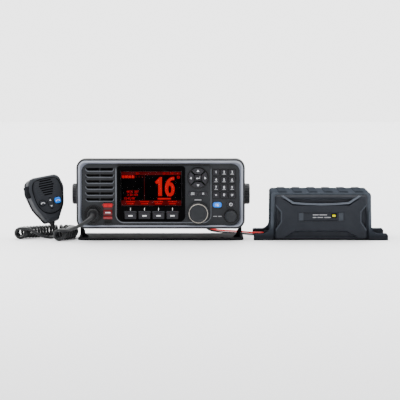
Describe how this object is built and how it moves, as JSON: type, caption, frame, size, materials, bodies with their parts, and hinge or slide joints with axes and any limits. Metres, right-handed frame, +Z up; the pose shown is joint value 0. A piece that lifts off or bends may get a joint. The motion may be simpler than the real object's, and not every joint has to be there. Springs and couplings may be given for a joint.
{
  "type": "marine VHF radio",
  "caption": "Marine VHF radio head in a tilting bracket, with a hand microphone on a curly cord and its power supply box.",
  "frame": {"origin": "centre of the bracket's screw pattern on the table", "axes": "+X to the right along the bezel, +Y to the back, +Z up"},
  "size_m": [0.6099, 0.2007, 0.133],
  "materials": {
    "bezel_black": "fine spark texture",
    "rim_grey": "satin metallic grey",
    "lens_black": "polished",
    "screen_black": "glass and steel frame",
    "paper_cone": "pressed paper cone",
    "board_green": "solder mask",
    "case_black": "powder coat on die casting",
    "seal_rubber": "moulded",
    "socket_black": "moulded",
    "nickel": "nickel plate",
    "key_black": "soft matt",
    "key_blue": "translucent blue",
    "key_red": "moulded red",
    "dial_black": "knurled",
    "bracket_black": "powder coat",
    "knob_black": "moulded nylon",
    "mic_black": "fine texture",
    "cord_black": "polyurethane jacket",
    "box_slate": "moulded slate plastic",
    "cover_slate": "moulded slate plastic",
    "lamp_green": "lit diffuser"
  },
  "bodies": {
    "root": {"bracket": "bracket_black", "mic_front_case": "mic_black", "mic_rear_case": "mic_black", "mic_hanger_stud": "nickel", "mic_strain_relief": "cord_black", "mic_cord_coil": "cord_black", "mic_cord_radio_tail": "cord_black", "mic_cord_mic_tail": "cord_black", "psu_case": "box_slate", "psu_front_cover": "cover_slate", "psu_indicator": "lamp_green", "power_cable": "cord_black"},
    "head": {"front_panel": "bezel_black", "rim_trim": "rim_grey", "display_lens": "lens_black", "display_screen": "screen_black", "speaker_driver": "paper_cone", "main_board": "board_green", "rear_case": "case_black", "case_gasket": "seal_rubber", "mic_socket": "socket_black", "antenna_socket": "nickel", "power_gland": "seal_rubber", "mic_plug": "socket_black"},
    "key_1": {"key_1": "key_black"},
    "key_2": {"key_2": "key_black"},
    "key_3": {"key_3": "key_black"},
    "key_4": {"key_4": "key_black"},
    "key_5": {"key_5": "key_black"},
    "key_6": {"key_6": "key_black"},
    "key_7": {"key_7": "key_black"},
    "key_8": {"key_8": "key_black"},
    "key_9": {"key_9": "key_black"},
    "key_star": {"key_star": "key_black"},
    "key_0": {"key_0": "key_black"},
    "key_hash": {"key_hash": "key_black"},
    "soft_key_1": {"soft_key_1": "key_black"},
    "soft_key_2": {"soft_key_2": "key_black"},
    "soft_key_3": {"soft_key_3": "key_black"},
    "soft_key_4": {"soft_key_4": "key_black"},
    "menu_key": {"menu_key": "key_black"},
    "clear_key": {"clear_key": "key_black"},
    "channel_key": {"channel_key": "key_blue"},
    "power_key": {"power_key": "key_black"},
    "enter_key": {"enter_key": "key_black"},
    "arrow_up_key": {"arrow_up_key": "key_black"},
    "arrow_down_key": {"arrow_down_key": "key_black"},
    "arrow_left_key": {"arrow_left_key": "key_black"},
    "arrow_right_key": {"arrow_right_key": "key_black"},
    "dial_shaft": {"dial_shaft": "nickel"},
    "selector_dial": {"selector_dial": "dial_black"},
    "volume_knob": {"volume_knob": "dial_black"},
    "distress_cover": {"distress_cover": "key_red"},
    "distress_button": {"distress_button": "key_red"},
    "left_clamp_knob": {"left_clamp_knob": "knob_black"},
    "right_clamp_knob": {"right_clamp_knob": "knob_black"},
    "ptt_key": {"ptt_key": "key_black"},
    "mic_hangup_key": {"mic_hangup_key": "key_black"},
    "mic_rocker": {"mic_rocker": "key_black"},
    "mic_channel_key": {"mic_channel_key": "key_blue"}
  },
  "joints": [
    {"name": "head_tilt", "type": "hinge", "parent": "root", "child": "head", "pos_m": [0, 0, 0.0725], "axis": [1, 0, 0], "range_deg": [-20, 15], "deforming": ["mic_cord_radio_tail", "power_cable"]},
    {"name": "key_1_press", "type": "slide", "parent": "head", "child": "key_1", "axis": [0, 1, 0], "range_m": [0, 0.0008], "stiffness_N_per_m": 400, "springref_m": -0.001},
    {"name": "key_2_press", "type": "slide", "parent": "head", "child": "key_2", "axis": [0, 1, 0], "range_m": [0, 0.0008], "stiffness_N_per_m": 400, "springref_m": -0.001},
    {"name": "key_3_press", "type": "slide", "parent": "head", "child": "key_3", "axis": [0, 1, 0], "range_m": [0, 0.0008], "stiffness_N_per_m": 400, "springref_m": -0.001},
    {"name": "key_4_press", "type": "slide", "parent": "head", "child": "key_4", "axis": [0, 1, 0], "range_m": [0, 0.0008], "stiffness_N_per_m": 400, "springref_m": -0.001},
    {"name": "key_5_press", "type": "slide", "parent": "head", "child": "key_5", "axis": [0, 1, 0], "range_m": [0, 0.0008], "stiffness_N_per_m": 400, "springref_m": -0.001},
    {"name": "key_6_press", "type": "slide", "parent": "head", "child": "key_6", "axis": [0, 1, 0], "range_m": [0, 0.0008], "stiffness_N_per_m": 400, "springref_m": -0.001},
    {"name": "key_7_press", "type": "slide", "parent": "head", "child": "key_7", "axis": [0, 1, 0], "range_m": [0, 0.0008], "stiffness_N_per_m": 400, "springref_m": -0.001},
    {"name": "key_8_press", "type": "slide", "parent": "head", "child": "key_8", "axis": [0, 1, 0], "range_m": [0, 0.0008], "stiffness_N_per_m": 400, "springref_m": -0.001},
    {"name": "key_9_press", "type": "slide", "parent": "head", "child": "key_9", "axis": [0, 1, 0], "range_m": [0, 0.0008], "stiffness_N_per_m": 400, "springref_m": -0.001},
    {"name": "key_star_press", "type": "slide", "parent": "head", "child": "key_star", "axis": [0, 1, 0], "range_m": [0, 0.0008], "stiffness_N_per_m": 400, "springref_m": -0.001},
    {"name": "key_0_press", "type": "slide", "parent": "head", "child": "key_0", "axis": [0, 1, 0], "range_m": [0, 0.0008], "stiffness_N_per_m": 400, "springref_m": -0.001},
    {"name": "key_hash_press", "type": "slide", "parent": "head", "child": "key_hash", "axis": [0, 1, 0], "range_m": [0, 0.0008], "stiffness_N_per_m": 400, "springref_m": -0.001},
    {"name": "soft_key_1_press", "type": "slide", "parent": "head", "child": "soft_key_1", "axis": [0, 1, 0], "range_m": [0, 0.0008], "stiffness_N_per_m": 400, "springref_m": -0.001},
    {"name": "soft_key_2_press", "type": "slide", "parent": "head", "child": "soft_key_2", "axis": [0, 1, 0], "range_m": [0, 0.0008], "stiffness_N_per_m": 400, "springref_m": -0.001},
    {"name": "soft_key_3_press", "type": "slide", "parent": "head", "child": "soft_key_3", "axis": [0, 1, 0], "range_m": [0, 0.0008], "stiffness_N_per_m": 400, "springref_m": -0.001},
    {"name": "soft_key_4_press", "type": "slide", "parent": "head", "child": "soft_key_4", "axis": [0, 1, 0], "range_m": [0, 0.0008], "stiffness_N_per_m": 400, "springref_m": -0.001},
    {"name": "menu_key_press", "type": "slide", "parent": "head", "child": "menu_key", "axis": [0, 1, 0], "range_m": [0, 0.0008], "stiffness_N_per_m": 400, "springref_m": -0.001},
    {"name": "clear_key_press", "type": "slide", "parent": "head", "child": "clear_key", "axis": [0, 1, 0], "range_m": [0, 0.0008], "stiffness_N_per_m": 400, "springref_m": -0.001},
    {"name": "channel_key_press", "type": "slide", "parent": "head", "child": "channel_key", "axis": [0, 1, 0], "range_m": [0, 0.0008], "stiffness_N_per_m": 400, "springref_m": -0.001},
    {"name": "power_key_press", "type": "slide", "parent": "head", "child": "power_key", "axis": [0, 1, 0], "range_m": [0, 0.0008], "stiffness_N_per_m": 400, "springref_m": -0.001},
    {"name": "enter_key_press", "type": "slide", "parent": "head", "child": "enter_key", "axis": [0, 1, 0], "range_m": [0, 0.0008], "stiffness_N_per_m": 400, "springref_m": -0.001},
    {"name": "arrow_up_key_press", "type": "slide", "parent": "head", "child": "arrow_up_key", "axis": [0, 1, 0], "range_m": [0, 0.0008], "stiffness_N_per_m": 400, "springref_m": -0.001},
    {"name": "arrow_down_key_press", "type": "slide", "parent": "head", "child": "arrow_down_key", "axis": [0, 1, 0], "range_m": [0, 0.0008], "stiffness_N_per_m": 400, "springref_m": -0.001},
    {"name": "arrow_left_key_press", "type": "slide", "parent": "head", "child": "arrow_left_key", "axis": [0, 1, 0], "range_m": [0, 0.0008], "stiffness_N_per_m": 400, "springref_m": -0.001},
    {"name": "arrow_right_key_press", "type": "slide", "parent": "head", "child": "arrow_right_key", "axis": [0, 1, 0], "range_m": [0, 0.0008], "stiffness_N_per_m": 400, "springref_m": -0.001},
    {"name": "dial_push", "type": "slide", "parent": "head", "child": "dial_shaft", "axis": [0, 1, 0], "range_m": [0, 0.0005], "stiffness_N_per_m": 800, "springref_m": -0.001},
    {"name": "dial_turn", "type": "hinge", "parent": "dial_shaft", "child": "selector_dial", "pos_m": [0.0613, -0.06, 0.0451], "axis": [0, 1, 0], "continuous": true},
    {"name": "volume_turn", "type": "hinge", "parent": "head", "child": "volume_knob", "pos_m": [0.114, -0.0575, 0.0398], "axis": [0, 1, 0], "continuous": true},
    {"name": "distress_cover_lift", "type": "hinge", "parent": "head", "child": "distress_cover", "pos_m": [-0.08555, -0.0609, 0.0584], "axis": [-1, 0, 0], "range_deg": [0, 105], "stiffness_Nm_per_rad": 0.004, "springref_deg": -17.19},
    {"name": "distress_press", "type": "slide", "parent": "head", "child": "distress_button", "axis": [0, 1, 0], "range_m": [0, 0.001], "stiffness_N_per_m": 400, "springref_m": -0.001},
    {"name": "left_clamp_turn", "type": "hinge", "parent": "head", "child": "left_clamp_knob", "pos_m": [-0.1325, 0, 0.0725], "axis": [1, 0, 0], "range_deg": [0, 360]},
    {"name": "right_clamp_turn", "type": "hinge", "parent": "head", "child": "right_clamp_knob", "pos_m": [0.1325, 0, 0.0725], "axis": [1, 0, 0], "range_deg": [0, 360]},
    {"name": "ptt_press", "type": "slide", "parent": "root", "child": "ptt_key", "axis": [0.9023, 0.4017, 0.1564], "range_m": [0, 0.0018], "stiffness_N_per_m": 500, "springref_m": -0.001},
    {"name": "mic_hangup_key_press", "type": "slide", "parent": "root", "child": "mic_hangup_key", "axis": [-0.3601, 0.9018, -0.2389], "range_m": [0, 0.0008], "stiffness_N_per_m": 400, "springref_m": -0.001},
    {"name": "mic_channel_key_press", "type": "slide", "parent": "root", "child": "mic_channel_key", "axis": [-0.3601, 0.9018, -0.2389], "range_m": [0, 0.0008], "stiffness_N_per_m": 400, "springref_m": -0.001},
    {"name": "mic_rocker_tilt", "type": "hinge", "parent": "root", "child": "mic_rocker", "pos_m": [-0.18208, -0.01057, 0.05732], "axis": [0.9023, 0.4017, 0.1564], "range_deg": [-3, 3], "stiffness_Nm_per_rad": 0.06}
  ]
}
